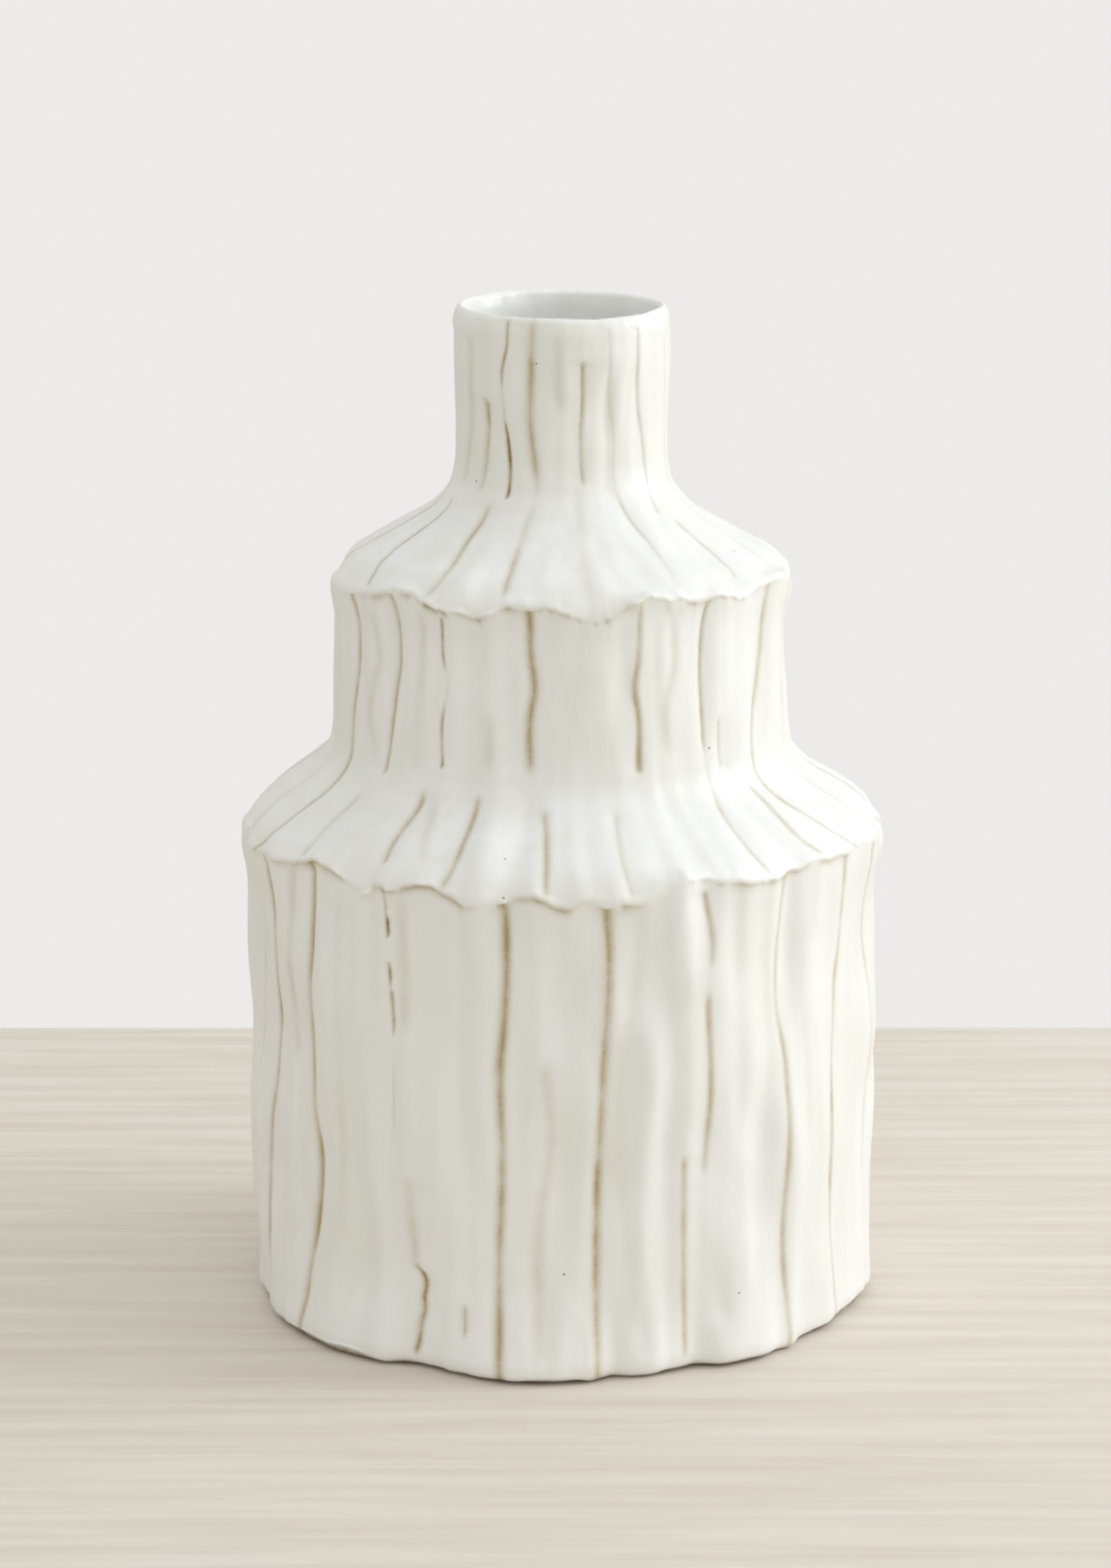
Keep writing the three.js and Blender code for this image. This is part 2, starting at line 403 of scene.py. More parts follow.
TOP_SEAMS = [
    Seam(THIN, ((131, -84), (138, -81), (145, -82), (173, -80)), shows=((143, 1), (147, 0.2))),
    Seam(THIN, ((131.5, -58), (134, -59), (138, -63.5), (142, -64.5), (145, -66)), step=0.15),
    Seam(SOFT, ((148, -63), (151, -64), (157, -60), (167, -57), (173, -56))),
    Seam(PLAIN, ((147, -46), (152, -45), (157, -44), (163, -45)), shows=((147, 0.5), (152, 1))),
    Seam(PLAIN, ((131.5, -35), (136, -33.8), (140, -36.3), (145, -36.7)), step=0.2),
    Seam(
        CRACK,
        (
            (146.5, -28), (149, -28), (153, -29), (158, -31), (163, -32), (168, -33), (173, -30),
            (177.3, -30),
        ),
        shows=((149, 1.3), (157, 1.3), (160, 0.2), (165, 0.2), (168, 0.7), (175, 0.7)),
    ),
    Seam(
        BOLD,
        ((133, -15), (143, -15), (149, -13), (153, -15), (158, -17), (168, -17), (177, -16)),
        shows=((133, 0.5), (143, 0.5), (146, 0.05), (149, 0.4), (152, 1)),
        step=0.15,
    ),
    Seam(SOFT, ((162, -2), (174, -3))),
    Seam(SOFT, ((134, 6), (140, 6.6), (146, 7.3)), shows=steady(0.5)),
    Seam(THIN, ((149, 11), (158, 10), (163, 11), (170, 11)), shows=((155, 0.5), (162, 1))),
    Seam(
        FINE,
        ((133, 30), (137, 31.5), (140, 31.8), (144, 30), (147.5, 28.6), (158, 29), (163, 27), (176, 25)),
        shows=((133, 0.1), (137, 0.4), (141, 0.7), (145, 1.1), (148, 0.3)),
        step=0.1,
    ),
    Seam(BROAD, ((148, 25), (156, 26), (167, 27)), shows=steady(1.4)),
    Seam(FINE, ((143.5, 48), (149, 50), (157, 48), (162, 45), (176, 43)), shows=steady(0.6), step=0.2),
    Seam(FINE, ((134, 52.7), (138, 54.5), (142, 54.4))),
    Seam(FINE, ((131, 72), (138, 76), (150, 75), (161, 73), (173, 68)), shows=steady(0.6)),
]

BACK_START = 90
BACK_END = 272
BACK_POINTS = 5
BACK_CUTS = (BOLD, PLAIN, PLAIN, THIN, THIN, FINE, SOFT)
BACK_SHIFT = 0.15
BACK_BEND = 0.1
BACK_STRENGTH = 0.9
BACK_VARIETY = 0.4
BACK_STRONGEST = 1.2
BACK_STEP = 0.25


def back_seams(seed, count, low, high):
    """Seams across the back of a sheet: evenly spread, but wandering, and fading here and there.

    Each one is shifted, and bent, by up to a share of the spread between two seams.
    """
    rng = np.random.default_rng(seed)
    spread = (BACK_END - BACK_START) / count
    heights = np.linspace(low, high, BACK_POINTS)
    seams = []
    for i in range(count):
        middle = BACK_START + (i + 0.5 + rng.uniform(-BACK_SHIFT, BACK_SHIFT)) * spread
        angles = middle + rng.uniform(-BACK_BEND, BACK_BEND, BACK_POINTS) * spread
        strengths = rng.normal(BACK_STRENGTH, BACK_VARIETY, BACK_POINTS)
        seams.append(
            Seam(
                cut=BACK_CUTS[rng.integers(len(BACK_CUTS))],
                path=tuple(zip(heights, angles)),
                shows=tuple(zip(heights, np.clip(strengths, 0, BACK_STRONGEST))),
                step=rng.uniform(-BACK_STEP, BACK_STEP),
            )
        )
    return seams


END_FADE = 2.0


def seam_angle(seam, climb):
    """The angle that a seam is at, at each height."""
    return smooth_through(*zip(*seam.path), climb)


def seam_strength(seam, climb):
    """How strongly a seam shows: nothing beyond its two ends, where a wide seam fades more slowly."""
    first = seam.path[0][0]
    last = seam.path[-1][0]
    fade = END_FADE * seam.cut.width**2
    ends = smoothstep(first - fade, first + fade, climb)
    ends *= 1 - smoothstep(last - fade, last + fade, climb)
    return ends * np.interp(climb, *zip(*seam.shows))


COLUMNS_PER_MM = 2.15
COLUMN_CROWDING = 1.44
FEWEST_COLUMNS = 8


def lay_columns(seams, climb, radius):
    """The angle of each column at each row. Every crisp seam has a column down its middle.

    Between two seams the columns crowd towards both.
    """
    crisp = [seam for seam in seams if seam.cut not in (SOFT, BROAD)]
    tracks = sorted((seam_angle(seam, climb) for seam in crisp), key=np.mean)
    tracks.append(tracks[0] + 360)
    columns = []
    for left, right in zip(tracks, tracks[1:]):
        gap = right - left
        if gap.min() <= 0:
            raise ValueError(f"two seams cross near {left[np.argmin(gap)]:.0f} degrees")
        width = np.radians(gap.mean()) * radius
        count = max(FEWEST_COLUMNS, round(width * COLUMNS_PER_MM))
        t = np.linspace(-1, 1, count, endpoint=False)
        crowded = (1 + np.tanh(COLUMN_CROWDING * t) / np.tanh(COLUMN_CROWDING)) / 2
        columns.append(left[:, None] + gap[:, None] * crowded)
    return np.concatenate(columns, axis=1)


# ---- waves, creases and lumps

class Wave(NamedTuple):
    """An uneven edge round the vase, and how far above and below itself it carries the surface.

    points are its (angle, rise) points. A rise is upwards, or outwards for the foot. The gap that
    they leave at the back is filled with more, up to spread high. ragged is how high its tears are.
    """

    height: float
    above: float
    below: float
    points: tuple
    spread: float
    ragged: float
    seed: int


LOWER_LIP_WAVE = Wave(
    height=LOWER_CREASE,
    above=6,
    below=12,
    points=(
        (-84, 1.2), (-66, 0.6), (-57, 0.8), (-47, 2.4), (-44, 1.6), (-37, -0.6), (-34, 0.9), (-29, 0.6),
        (-26, 1.7), (-20, 0.3), (-18, -0.5), (-11, -0.5), (-4, 0.7), (1, -1.3), (4, 0.1), (7, -0.7),
        (10, -0.2), (13, -0.7), (17, 1.0), (22, 2.7), (29, 1.8), (36, 0.9), (40, 0.4), (44, 1.0),
        (54, 2.0), (66, 1.7), (82, 1.5),
    ),
    spread=1.3,
    ragged=0.33,
    seed=11,
)
UPPER_LIP_WAVE = Wave(
    height=UPPER_CREASE,
    above=5,
    below=10,
    points=(
        (-83, 1.2), (-56, 0.8), (-46, 2.1), (-40, 2.0), (-35, 1.0), (-31, 0.2), (-26, 0.2), (-21, -0.9),
        (-15, 1.1), (-8, 0.9), (-2, 1.0), (7, -0.8), (15, 0.9), (20, 2.8), (30, 1.9), (35, 1.1),
        (42, 1.9), (50, 0.9), (60, 2.2), (78, 1.4),
    ),
    spread=1.3,
    ragged=0.33,
    seed=12,
)
RIM_WAVE = Wave(
    height=RIM,
    above=12,
    below=12,
    points=(
        (-80, 0.3), (-40, -0.3), (0, -0.4), (35, -0.5), (70, 0.1), (85, 0.3), (100, 0.3), (140, 0.6),
        (180, 0.8), (215, 0.9), (250, 0.6), (270, 0.3),
    ),
    spread=0,
    ragged=0.06,
    seed=13,
)
FOOT_WAVE = Wave(
    height=0,
    above=18,
    below=4,
    points=(
        (-95, -1.6), (-83, -1.6), (-70, -0.3), (-57, 1.7), (-50, 2.7), (-39, 3.4), (-33, 2.2), (-25, 0.2),
        (-19, 1.5), (-10, 3.8), (-1, 4.2), (4, 3.0), (9, 0.1), (13, 0.8), (18, 1.1), (25, -0.3), (29, 2.0),
        (36, 2.6), (43, 0.4), (51, -0.3), (58, 0.8), (65, 0.3), (74, 0.9), (85, 0.4), (95, -0.6),
    ),
    spread=1.2,
    ragged=0.12,
    seed=14,
)
WAVE_STEP = 11
TEAR_SIZE = 2.6
SMALL_TEARS = 0.6


def wave_at(wave, angle, climb):
    """How far a wave carries the surface, at these angles and heights."""
    angles, rises = zip(*wave.points)
    start = angles[0]
    back = np.arange(angles[-1] + WAVE_STEP, start + 360 - WAVE_STEP / 2, WAVE_STEP)
    back_rises = np.random.default_rng(wave.seed).uniform(-wave.spread, wave.spread, len(back))
    angles = [*angles, *back, start + 360]
    rises = [*rises, *back_rises, rises[0]]
    rise = smooth_through(angles, rises, (angle - start) % 360 + start)
    ring = round_axis(angle, LOWER_LIP, 0)
    tears = lumps(ring, TEAR_SIZE, wave.seed) + SMALL_TEARS * lumps(ring, TEAR_SIZE / 2, wave.seed + 1)
    above = climb - wave.height
    reach = 1 - smoothstep(0, 1, np.where(above > 0, above / wave.above, -above / wave.below))
    return (rise + wave.ragged * tears) * reach


class Crease(NamedTuple):
    """The lower edge of a shoulder: a small overhang, with wash in patches under it.

    shows is how clear the edge is, as (angle, strength) points. Elsewhere the two walls flow together.
    """

    height: float
    shows: tuple
    seed: int


LOWER_LIP_CREASE = Crease(
    height=LOWER_CREASE,
    shows=(
        (-85, 0), (-66, 0.2), (-52, 0.8), (10, 1), (15, 0), (20, 0), (25, 0.6), (50, 0.6), (62, 0.3),
        (80, 0), (110, 0.3), (140, 1), (215, 1), (250, 0.3), (275, 0),
    ),
    seed=11,
)
UPPER_LIP_CREASE = Crease(
    height=UPPER_CREASE,
    shows=(
        (-80, 0), (-62, 0.1), (-50, 0.8), (-38, 1.5), (-22, 1.5), (-12, 1), (14, 1), (17, 0.2), (20, 0.2),
        (24, 0.7), (50, 0.6), (66, 0.2), (85, 0), (110, 0.3), (140, 1), (220, 1), (250, 0.3), (280, 0),
    ),
    seed=12,
)

# The overhang: how far it stands out, how much of that is even, and how it turns and dies away.
OVERHANG = 0.35
OVERHANG_EVEN = 0.3
OVERHANG_EDGE = 0.25
OVERHANG_REACH = 1.5

# The brown under it: how strong and how tall its core and its wash are, and the patches they come in.
CREASE_CORE = 0.35
CREASE_CORE_HEIGHT = 0.24
CREASE_WASH = 0.8
CREASE_WASH_HEIGHT = 0.8
PATCH_SIZE = 4.0
SMALL_PATCHES = 0.7
PATCH_SOFTNESS = 0.7


def crease_hold(crease, angle):
    """How clear a shoulder's edge is, at these angles."""
    angles, strengths = zip(*crease.shows)
    return np.interp(angle, angles, strengths, period=360)


class Lump(NamedTuple):
    """A swelling, or a dent where rise is below 0, of a given width and height."""

    angle: float
    height: float
    wide: float
    tall: float
    rise: float


LUMPS = [
    # the drum's folds and dents
    Lump(19.5, 73, 3, 10, 1.0),
    Lump(16.5, 57, 3, 11, 0.6),
    Lump(14, 41, 3.5, 11, 0.6),
    Lump(-12, 45, 5, 26, 0.7),
    Lump(21, LOWER_CREASE - 3, 3.5, 7, 1.1),
    Lump(0.5, 54, 3, 9, 0.6),
    Lump(0.5, 13, 3, 9, 0.6),
    Lump(-18, 32, 2.5, 9, 0.6),
    Lump(36.5, 54, 3.5, 9, 1.1),
    Lump(33, 17, 5, 7, 1.1),
    Lump(29, 10, 2, 4, -0.6),
    Lump(37, 41, 3, 6, -0.5),
    Lump(14, 8, 1.5, 6, -0.5),
    Lump(-2.5, 9, 1.2, 5, -0.4),
    Lump(-62, 40, 5, 16, 0.5),
    # torn curls along the lower lip
    Lump(-43, LOWER_CREASE + 0.4, 1.2, 0.5, 0.8),
    Lump(-36, LOWER_CREASE - 0.6, 1.2, 0.5, 0.9),
    Lump(-31, LOWER_CREASE, 0.9, 0.5, 0.9),
    Lump(-25, LOWER_CREASE + 0.3, 1.6, 0.5, 0.9),
    Lump(-10, LOWER_CREASE - 0.2, 0.8, 0.6, 0.8),
    # torn curls along the upper lip
    Lump(-32, UPPER_CREASE + 0.4, 2.4, 0.5, 0.9),
    Lump(-25, UPPER_CREASE + 0.1, 1.8, 0.5, 0.9),
    Lump(-18, UPPER_CREASE + 0.2, 1.3, 0.5, 0.8),
    Lump(18, UPPER_CREASE - 0.2, 1.0, 1.0, 0.6),
    # broad swellings and hollows of the two sides
    Lump(-100, 95, 25, 4, 1.2),
    Lump(-90, LOWER_CREASE - 3, 26, 3.5, 0.8),
    Lump(-90, LOWER_CREASE + 2, 26, 1.5, -0.4),
    Lump(-90, 70, 26, 9, -0.7),
    Lump(90, LOWER_CREASE - 3, 26, 4, 0.9),
    Lump(90, LOWER_CREASE + 2, 26, 1.5, -0.5),
    Lump(90, 66, 26, 12, -0.8),
    Lump(90, 1, 20, 7, -2.0),
    Lump(-90, 139, 15, 4, 0.5),
    Lump(-90, UPPER_CREASE - 2.5, 20, 3, 0.7),
    Lump(-90, UPPER_CREASE + 2, 20, 2, -0.6),
    Lump(90, UPPER_CREASE - 2.5, 20, 3, 0.8),
    Lump(90, UPPER_CREASE + 1.5, 20, 2, -0.1),
]


def raise_lumps(angle, climb, radius):
    """How far the lumps raise the surface."""
    rise = np.zeros_like(angle)
    for lump in LUMPS:
        across = np.radians(wrap(angle - lump.angle)) * radius
        above = climb - lump.height
        rise += lump.rise * np.exp(-((across / lump.wide) ** 2) - (above / lump.tall) ** 2)
    return rise


# ---- sheets

class Sheet(NamedTuple):
    """A drawn sheet, in grids of rows by columns, but with one height for each row.

    core and wash are how much brown is in the seams, and beside them. core also holds painted shade along
    the foot's lifted edge.
    """

    angle: np.ndarray
    height: np.ndarray
    points: np.ndarray
    normals: np.ndarray
    core: np.ndarray
    wash: np.ndarray


CORE_WIDTH = 0.26
WASH_SPREAD = 1.1
GROOVE_SHARE = 0.3
VALLEY_SPREAD = 4.5
VALLEY_POWER = 1.4
STEP_REACH = 4.0


def press_seams(seams, angle, climb, radius, variation):
    """How far the seams raise the surface, and the brown in their cores and beside them.

    A seam is a narrow groove in a wide valley. variation is how its strength varies along it.
    """
    rise, core, wash = np.zeros((3, *angle.shape))
    for seam in seams:
        cut = seam.cut
        across = np.radians(wrap(angle - seam_angle(seam, climb))) * radius
        near = np.abs(across)
        widths = near / cut.width
        strength = seam_strength(seam, climb) * variation
        groove = GROOVE_SHARE * np.exp(-(widths**2))
        valley = (1 - GROOVE_SHARE) * np.exp(-((widths / VALLEY_SPREAD) ** VALLEY_POWER))
        rise -= cut.depth * strength * (groove + valley)
        rise += seam.step * strength * np.tanh(across / cut.width) * np.exp(-near / STEP_REACH)
        core += cut.core * strength * np.exp(-((near / (CORE_WIDTH * variation)) ** 2))
        wash += cut.wash * strength * np.exp(-((widths / WASH_SPREAD) ** 2))
    return rise, core, wash


def press_creases(creases, angle, climb):
    """The same three, for the edges of the shoulders."""
    rise, core, wash = np.zeros((3, *angle.shape))
    for crease in creases:
        hold = crease_hold(crease, angle)
        ring = round_axis(angle, LOWER_LIP, crease.height)
        spots = lumps(ring, PATCH_SIZE, crease.seed)
        spots += SMALL_PATCHES * lumps(ring, PATCH_SIZE / 3, crease.seed + 2)
        patches = hold * smoothstep(-PATCH_SOFTNESS, PATCH_SOFTNESS, spots)
        above = climb - crease.height
        edge = np.tanh(above / OVERHANG_EDGE) * np.exp(-np.abs(above) / OVERHANG_REACH)
        rise += OVERHANG * (OVERHANG_EVEN * hold + (1 - OVERHANG_EVEN) * patches) * edge
        off_line = above + CREASE_CORE_HEIGHT
        core += CREASE_CORE * patches * np.exp(-((off_line / CREASE_CORE_HEIGHT) ** 2))
        wash += CREASE_WASH * patches * np.exp(-((off_line / CREASE_WASH_HEIGHT) ** 2))
    return rise, core, wash


class Texture(NamedTuple):
    """One scale of unevenness: its size round the vase and up it, and its height."""

    wide: float
    tall: float
    rise: float


HAND_TEXTURES = [
    Texture(20, 32, 1.1),
    Texture(8, 17, 1.1),
    Texture(4.5, 40, 0.7),
    Texture(2.6, 22, 0.15),
    Texture(2.2, 4, 0.05),
]
HAND_SEED = 31
SMALL_PARTS_SMOOTHER = 1.3

# The ring that the textures are laid round narrows from the upper crease up to the root of the neck.
TEXTURE_RING_HEIGHTS = (UPPER_CREASE, UPPER_ROOT)
TEXTURE_RING_RADII = (LOWER_LIP, 38.0)

# How strongly the seams show on the whole, and how much that varies, in patches of this size.
SEAM_STRENGTH = 0.85
SEAM_VARIETY = 0.35
SEAM_PATCH = (6, 6, 7)

# Where the relief is weaker: seams near the foot and the creases, slopes, the underside, and the bore.
FOOT_RELIEF = 0.15
FOOT_CALM = 9.0
CREASE_CALM = 2.0
SLOPE_RELIEF = 0.55
UNDERSIDE_CALM = -1.0
UNDERSIDE_CALM_END = 0.5
INSIDE_CALM = 0.75
INSIDE_CALM_DEPTH = 3.0

# The brown line round the foot's lifted edge: partly bare clay, partly painted shade in the gap under it.
FOOT_LINE_AND_SHADE = 1.2
FOOT_LINE_AND_SHADE_TOP = 1.1


def hand_relief(place, radius):
    """The unevenness that hands leave in clay, which is less on the smaller parts."""
    share = (radius / LOWER_LIP) ** SMALL_PARTS_SMOOTHER
    rise = np.zeros(place.shape[:-1])
    for number, texture in enumerate(HAND_TEXTURES, start=1):
        size = (texture.wide, texture.wide, texture.tall)
        rise += texture.rise * share * lumps(place, size, HAND_SEED + number)
    return rise


def facing(radius, height, climb, creases):
    """Which way each row faces, as a radial part and an upward one. At a crease it is level."""
    outward = np.stack([np.gradient(height), -np.gradient(radius)])
    outward /= np.linalg.norm(outward, axis=0)
    for crease in creases:
        outward[:, climb == crease.height] = [[1], [0]]
    return outward


def grid_normals(points):
    """The normal at each point of a grid that goes all the way round the vase."""
    up = np.gradient(points, axis=0)
    along = np.roll(points, -1, axis=1) - np.roll(points, 1, axis=1)
    normals = np.cross(along, up)
    return normals / np.linalg.norm(normals, axis=-1, keepdims=True)


def draw_sheet(knots, seams, creases, rising, swelling):
    """A sheet with its seams and creases pressed in, its fluting, and its uneven edges.

    The rising waves carry it up and down, and the swelling ones in and out. Where two sheets meet,
    both stand out level and by the same amount, and the seams of both have faded away.
    """
    radius, height = draw_outline(knots)
    climb = climb_of(radius, height)
    angle = lay_columns(seams, climb, radius.max())
    radial, upward = facing(radius, height, climb, creases)[..., None]
    climb, radius, height = climb[:, None], radius[:, None], height[:, None]
    place = round_axis(angle, np.interp(climb, TEXTURE_RING_HEIGHTS, TEXTURE_RING_RADII), climb)

    variation = SEAM_STRENGTH + SEAM_VARIETY * lumps(place, SEAM_PATCH, HAND_SEED)
    rise, core, wash = press_seams(seams, angle, climb, radius, variation)
    rise *= FOOT_RELIEF + (1 - FOOT_RELIEF) * smoothstep(0, FOOT_CALM, climb)
    for crease in creases:
        rise *= smoothstep(0, CREASE_CALM, np.abs(climb - crease.height))
    rise += hand_relief(place, radius)
    rise *= SLOPE_RELIEF + (1 - SLOPE_RELIEF) * radial**2
    rise += raise_lumps(angle, climb, radius)

    crease_rise, crease_core, crease_wash = press_creases(creases, angle, climb)
    rise += crease_rise
    # The foot line is partly bare-clay brown and partly painted shade under the lifted edge of the foot.
    core += crease_core + FOOT_LINE_AND_SHADE * (1 - smoothstep(0, FOOT_LINE_AND_SHADE_TOP, climb))
    wash += crease_wash
    rise *= smoothstep(UNDERSIDE_CALM, UNDERSIDE_CALM_END, climb)
    rise *= 1 - INSIDE_CALM * smoothstep(RIM, RIM + INSIDE_CALM_DEPTH, climb)

    lift = sum(wave_at(wave, angle, climb) for wave in rising)
    swell = sum(wave_at(wave, angle, climb) for wave in swelling)
    points = round_axis(angle, radius + swell + rise * radial, height + lift + rise * upward)
    points[..., 2] = np.maximum(points[..., 2], 0)
    return Sheet(angle, height[:, 0], points, grid_normals(points), core, wash)


# ---- pieces

CLAY_SLOT = 1


def row_at(sheet, height):
    """The outer row nearest to a height."""
    rows = np.abs(sheet.height - height)
    return int(np.argmin(rows[: np.argmax(sheet.height) + 1]))


def inner_rows(sheet, first, last, inside):
    """Rows down the inside of a piece. The first and last lie level with the outer rows' ends."""
    levels = np.interp(
        [height for _, height in inside],
        sheet.height[first : last + 1],
        np.arange(first, last + 1),
    )
    rows = []
    for (radius, height), level in zip(inside, np.round(levels).astype(int)):
        rows.append(round_axis(sheet.angle[level], radius, np.full(sheet.angle.shape[1], height)))
    rows[0][:, 2] = sheet.points[last, :, 2]
    rows[-1][:, 2] = sheet.points[first, :, 2]
    return np.stack(rows)


def ring_faces(rows, columns, closed):
    """Quads between each row and the next, all the way round."""
    low = np.arange(rows if closed else rows - 1)
    high = (low + 1) % rows
    here = np.arange(columns)
    there = (here + 1) % columns
    turns = ((low, here), (low, there), (high, there), (high, here))
    corners = [row[:, None] * columns + column for row, column in turns]
    return np.stack(corners, axis=-1).reshape(-1, 4).tolist()


def painted_fields(sheet, first, last, others):
    """The brown of some rows of a sheet, and of so many other points, which have none."""
    plain = np.zeros(others)
    core = np.concatenate([sheet.core[first : last + 1].ravel(), plain])
    wash = np.concatenate([sheet.wash[first : last + 1].ravel(), plain])
    return {"core": core, "wash": wash}


def add_object(name, data):
    """Adds an object to the scene."""
    made = bpy.data.objects.new(name, data)
    bpy.context.scene.collection.objects.link(made)
    return made


def add_piece(node, points, faces, normals, fields, materials):
    """The piece that replaces a node, with its normals and its painted fields."""
    name = "vase_" + node
    mesh = bpy.data.meshes.new(name)
    mesh.from_pydata(points * MM, [], faces)
    mesh.shade_smooth()
    mesh.normals_split_custom_set_from_vertices(normals)
    for field, values in fields.items():
        mesh.attributes.new(field, "FLOAT", "POINT").data.foreach_set("value", values.astype(np.float32))
    for material in materials:
        mesh.materials.append(material)
    piece = add_object(name, mesh)
    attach(piece, "root")
    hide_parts(node)
    return piece


def add_ring(node, sheet, first, last, inside, glaze):
    """A hollow piece: some rows of a sheet, closed down its inside."""
    outer = sheet.points[first : last + 1]
    columns = outer.shape[1]
    inner = inner_rows(sheet, first, last, inside) if inside else np.zeros((0, columns, 3))
    points = np.concatenate([outer, inner])
    normals = np.concatenate([sheet.normals[first : last + 1], np.zeros_like(inner)])
    faces = ring_faces(len(points), columns, closed=True)
    fields = painted_fields(sheet, first, last, len(inner) * columns)
    add_piece(
        node, points.reshape(-1, 3), faces, normals.reshape(-1, 3), fields, [glaze]
    )


def add_base(sheet, last, glaze, clay):
    """The floor of the vase: bare clay underneath, and glazed round its edge."""
    outer = sheet.points[: last + 1]
    rows, columns = outer.shape[:2]
    middles = [[0, 0, outer[0, 0, 2]], [0, 0, sheet.height[last]]]
    points = np.concatenate([outer.reshape(-1, 3), middles])
    normals = np.concatenate([sheet.normals[: last + 1].reshape(-1, 3), [[0, 0, -1], [0, 0, 1]]])

    faces = ring_faces(rows, columns, closed=False)
    edge_faces = len(faces)
    under_middle = rows * columns
    top_middle = under_middle + 1
    top_row = last * columns
    here = range(columns)
    there = [*here[1:], 0]
    faces += [(under_middle, b, a) for a, b in zip(here, there)]
    faces += [(top_middle, top_row + a, top_row + b) for a, b in zip(here, there)]

    fields = painted_fields(sheet, 0, last, len(middles))
    piece = add_piece("base", points, faces, normals, fields, [glaze, clay])
    contact_row = np.flatnonzero(sheet.height <= 0)[-1]
    material = np.zeros(len(faces), dtype=np.int32)
    material[: contact_row * columns] = CLAY_SLOT
    material[edge_faces : edge_faces + columns] = CLAY_SLOT
    piece.data.polygons.foreach_set("material_index", material)


# ---- materials

class Paint:
    """A material whose nodes are added one at a time. Sizes are in millimetres."""

    def __init__(self, name):
        self.material = bpy.data.materials.new(name)
        self.material.use_nodes = True
        self.nodes = self.material.node_tree.nodes
        self.links = self.material.node_tree.links
        self.shader = self.nodes["Principled BSDF"]
        self.place = self.nodes.new("ShaderNodeTexCoord").outputs["Object"]

    def feed(self, socket, value):
        """Links another node's output to a socket, or sets the socket to a constant."""
        if isinstance(value, bpy.types.NodeSocket):
            self.links.new(value, socket)
        else:
            socket.default_value = value

    def field(self, name):
        """One of the fields that are painted on the mesh."""
        node = self.nodes.new("ShaderNodeAttribute")
        node.attribute_name = name
        return node.outputs["Fac"]

    def noise(self, size, detail=2.0, roughness=0.5, squash=None):
        """Cloudy noise, mostly from 0.3 to 0.7, drawn out along an axis whose squash is under 1."""
        place = self.place
        if squash:
            mapping = self.nodes.new("ShaderNodeMapping")
            mapping.inputs["Scale"].default_value = squash
            self.feed(mapping.inputs["Vector"], place)
            place = mapping.outputs["Vector"]
        node = self.nodes.new("ShaderNodeTexNoise")
        node.inputs["Scale"].default_value = 1 / (size * MM)
        node.inputs["Detail"].default_value = detail
        node.inputs["Roughness"].default_value = roughness
        self.feed(node.inputs["Vector"], place)
        return node.outputs["Fac"]

    def specks(self, spacing, size, share):
        """Dots of a size, one to a cell of the given spacing, in some share of the cells."""
        node = self.nodes.new("ShaderNodeTexVoronoi")
        node.inputs["Scale"].default_value = 1 / (spacing * MM)
        self.feed(node.inputs["Vector"], self.place)
        cell = self.nodes.new("ShaderNodeSeparateColor")
        self.feed(cell.inputs["Color"], node.outputs["Color"])
        edge = size / spacing
        dot = self.ramp(node.outputs["Distance"], (edge, SPECK_CORE * edge))
        return self.math("MULTIPLY", dot, self.math("LESS_THAN", cell.outputs["Red"], share))

    def ramp(self, value, span, out=(0.0, 1.0)):
        """The value, carried smoothly from one span to another."""
        node = self.nodes.new("ShaderNodeMapRange")
        node.interpolation_type = "SMOOTHSTEP"
        self.feed(node.inputs["Value"], value)
        for name, setting in zip(("From Min", "From Max", "To Min", "To Max"), (*span, *out)):
            node.inputs[name].default_value = setting
        return node.outputs["Result"]

    def math(self, operation, a, b, clamp=False):
        """An operation on two values, where clamp keeps the answer from 0 to 1."""
        node = self.nodes.new("ShaderNodeMath")
        node.operation = operation
        node.use_clamp = clamp
        self.feed(node.inputs[0], a)
        self.feed(node.inputs[1], b)
        return node.outputs["Value"]

    def mix(self, share, a, b):
        """Colour a, with some share of colour b."""
        node = self.nodes.new("ShaderNodeMix")
        node.data_type = "RGBA"
        self.feed(node.inputs["Factor"], share)
        first, second, mixed = (s for s in (*node.inputs, *node.outputs) if s.type == "RGBA")
        self.feed(first, a)
        self.feed(second, b)
        return mixed

    def bump(self, height, distance, normal=None):
        """A normal bent by a height, on top of another normal where one is given."""
        node = self.nodes.new("ShaderNodeBump")
        node.inputs["Distance"].default_value = distance * MM
        self.feed(node.inputs["Height"], height)
        if normal:
            self.feed(node.inputs["Normal"], normal)
        return node.outputs["Normal"]


def tint(red, green, blue):
    """A colour from the 0 to 255 values that a screen shows."""
    encoded = np.array([red, green, blue]) / 255
    linear = np.where(encoded <= 0.04045, encoded / 12.92, ((encoded + 0.055) / 1.055) ** 2.4)
    return (*linear.tolist(), 1.0)


GLAZE_THICK = tint(244, 244, 243)
GLAZE_THIN = tint(238, 238, 233)
WASH_PALE = tint(190, 171, 129)
